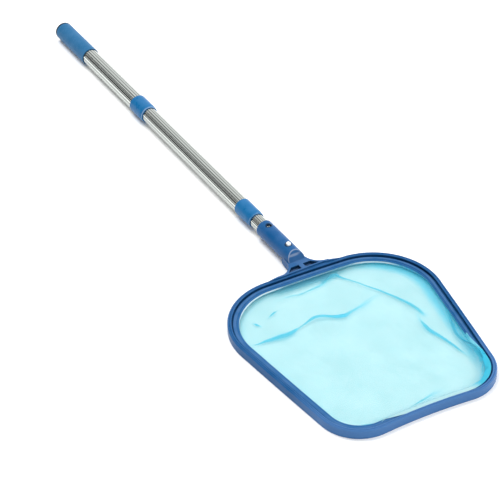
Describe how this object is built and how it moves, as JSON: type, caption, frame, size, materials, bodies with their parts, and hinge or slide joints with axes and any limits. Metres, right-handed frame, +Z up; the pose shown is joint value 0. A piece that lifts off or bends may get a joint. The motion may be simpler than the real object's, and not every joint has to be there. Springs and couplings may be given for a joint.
{
  "type": "leaf skimmer net",
  "caption": "Leaf skimmer with a shallow netted ring clipped to a telescopic fluted pole with collars and a soft grip.",
  "frame": {"origin": "on the ground at the middle of the whole part's footprint", "axes": "+Y along the pole towards the grip, +Z up, head ring and grip resting on z = 0"},
  "size_m": [0.3184, 1.1382, 0.0322],
  "materials": {
    "blue_head": "moulded, satin, dark blue",
    "blue_clamp": "moulded, satin, dark blue",
    "blue_collar": "moulded, satin, brighter blue",
    "grip_blue": "soft matte sleeve, blue",
    "tube_metal": "drawn and fluted, bright satin",
    "net_mesh": "fine pale cyan mesh",
    "black_plug": "moulded, black",
    "lock_nylon": "moulded, natural nylon",
    "lock_steel": "zinc plated",
    "clip_white": "moulded, white"
  },
  "bodies": {
    "handle": {"outer_tube": "tube_metal", "outer_collar": "blue_collar", "grip_sleeve": "grip_blue", "grip_end_plug": "black_plug"},
    "middle_lock": {"lock_sleeve_middle": "lock_nylon"},
    "middle_pole": {"middle_tube": "tube_metal", "middle_collar": "blue_collar", "lock_core_middle": "lock_nylon", "lock_washer_middle": "lock_steel", "lock_screw_middle": "lock_steel"},
    "inner_lock": {"lock_sleeve_inner": "lock_nylon"},
    "head_pole": {"inner_tube": "tube_metal", "lock_core_inner": "lock_nylon", "lock_washer_inner": "lock_steel", "lock_screw_inner": "lock_steel", "head_frame": "blue_head", "net_clamp_ring": "blue_clamp", "leaf_net": "net_mesh", "clip_spring": "clip_white"},
    "button_top": {"clip_button_top": "clip_white"},
    "button_bottom": {"clip_button_bottom": "clip_white"}
  },
  "joints": [
    {"name": "middle_slide", "type": "slide", "parent": "handle", "child": "middle_lock", "axis": [0, 1, 0], "range_m": [0, 0.233]},
    {"name": "middle_twist", "type": "hinge", "parent": "middle_lock", "child": "middle_pole", "pos_m": [0.00669, 0.26872, 0.0155], "axis": [0, 1, 0], "range_deg": [0, 180]},
    {"name": "inner_slide", "type": "slide", "parent": "middle_pole", "child": "inner_lock", "axis": [0, 1, 0], "range_m": [-0.22, 0.0215]},
    {"name": "inner_twist", "type": "hinge", "parent": "inner_lock", "child": "head_pole", "pos_m": [0.00669, -0.03128, 0.0155], "axis": [0, 1, 0], "range_deg": [0, 180]},
    {"name": "button_press", "type": "slide", "parent": "head_pole", "child": "button_top", "axis": [0, 0, 1], "range_m": [-0.0056, 0], "stiffness_N_per_m": 1500, "deforming": ["clip_spring"]},
    {"name": "button_press_below", "type": "slide", "parent": "head_pole", "child": "button_bottom", "axis": [0, 0, 1], "range_m": [0, 0.0042]}
  ],
  "couplings": [
    {"joint": "button_press_below", "follows": "button_press", "ratio": -0.75}
  ]
}
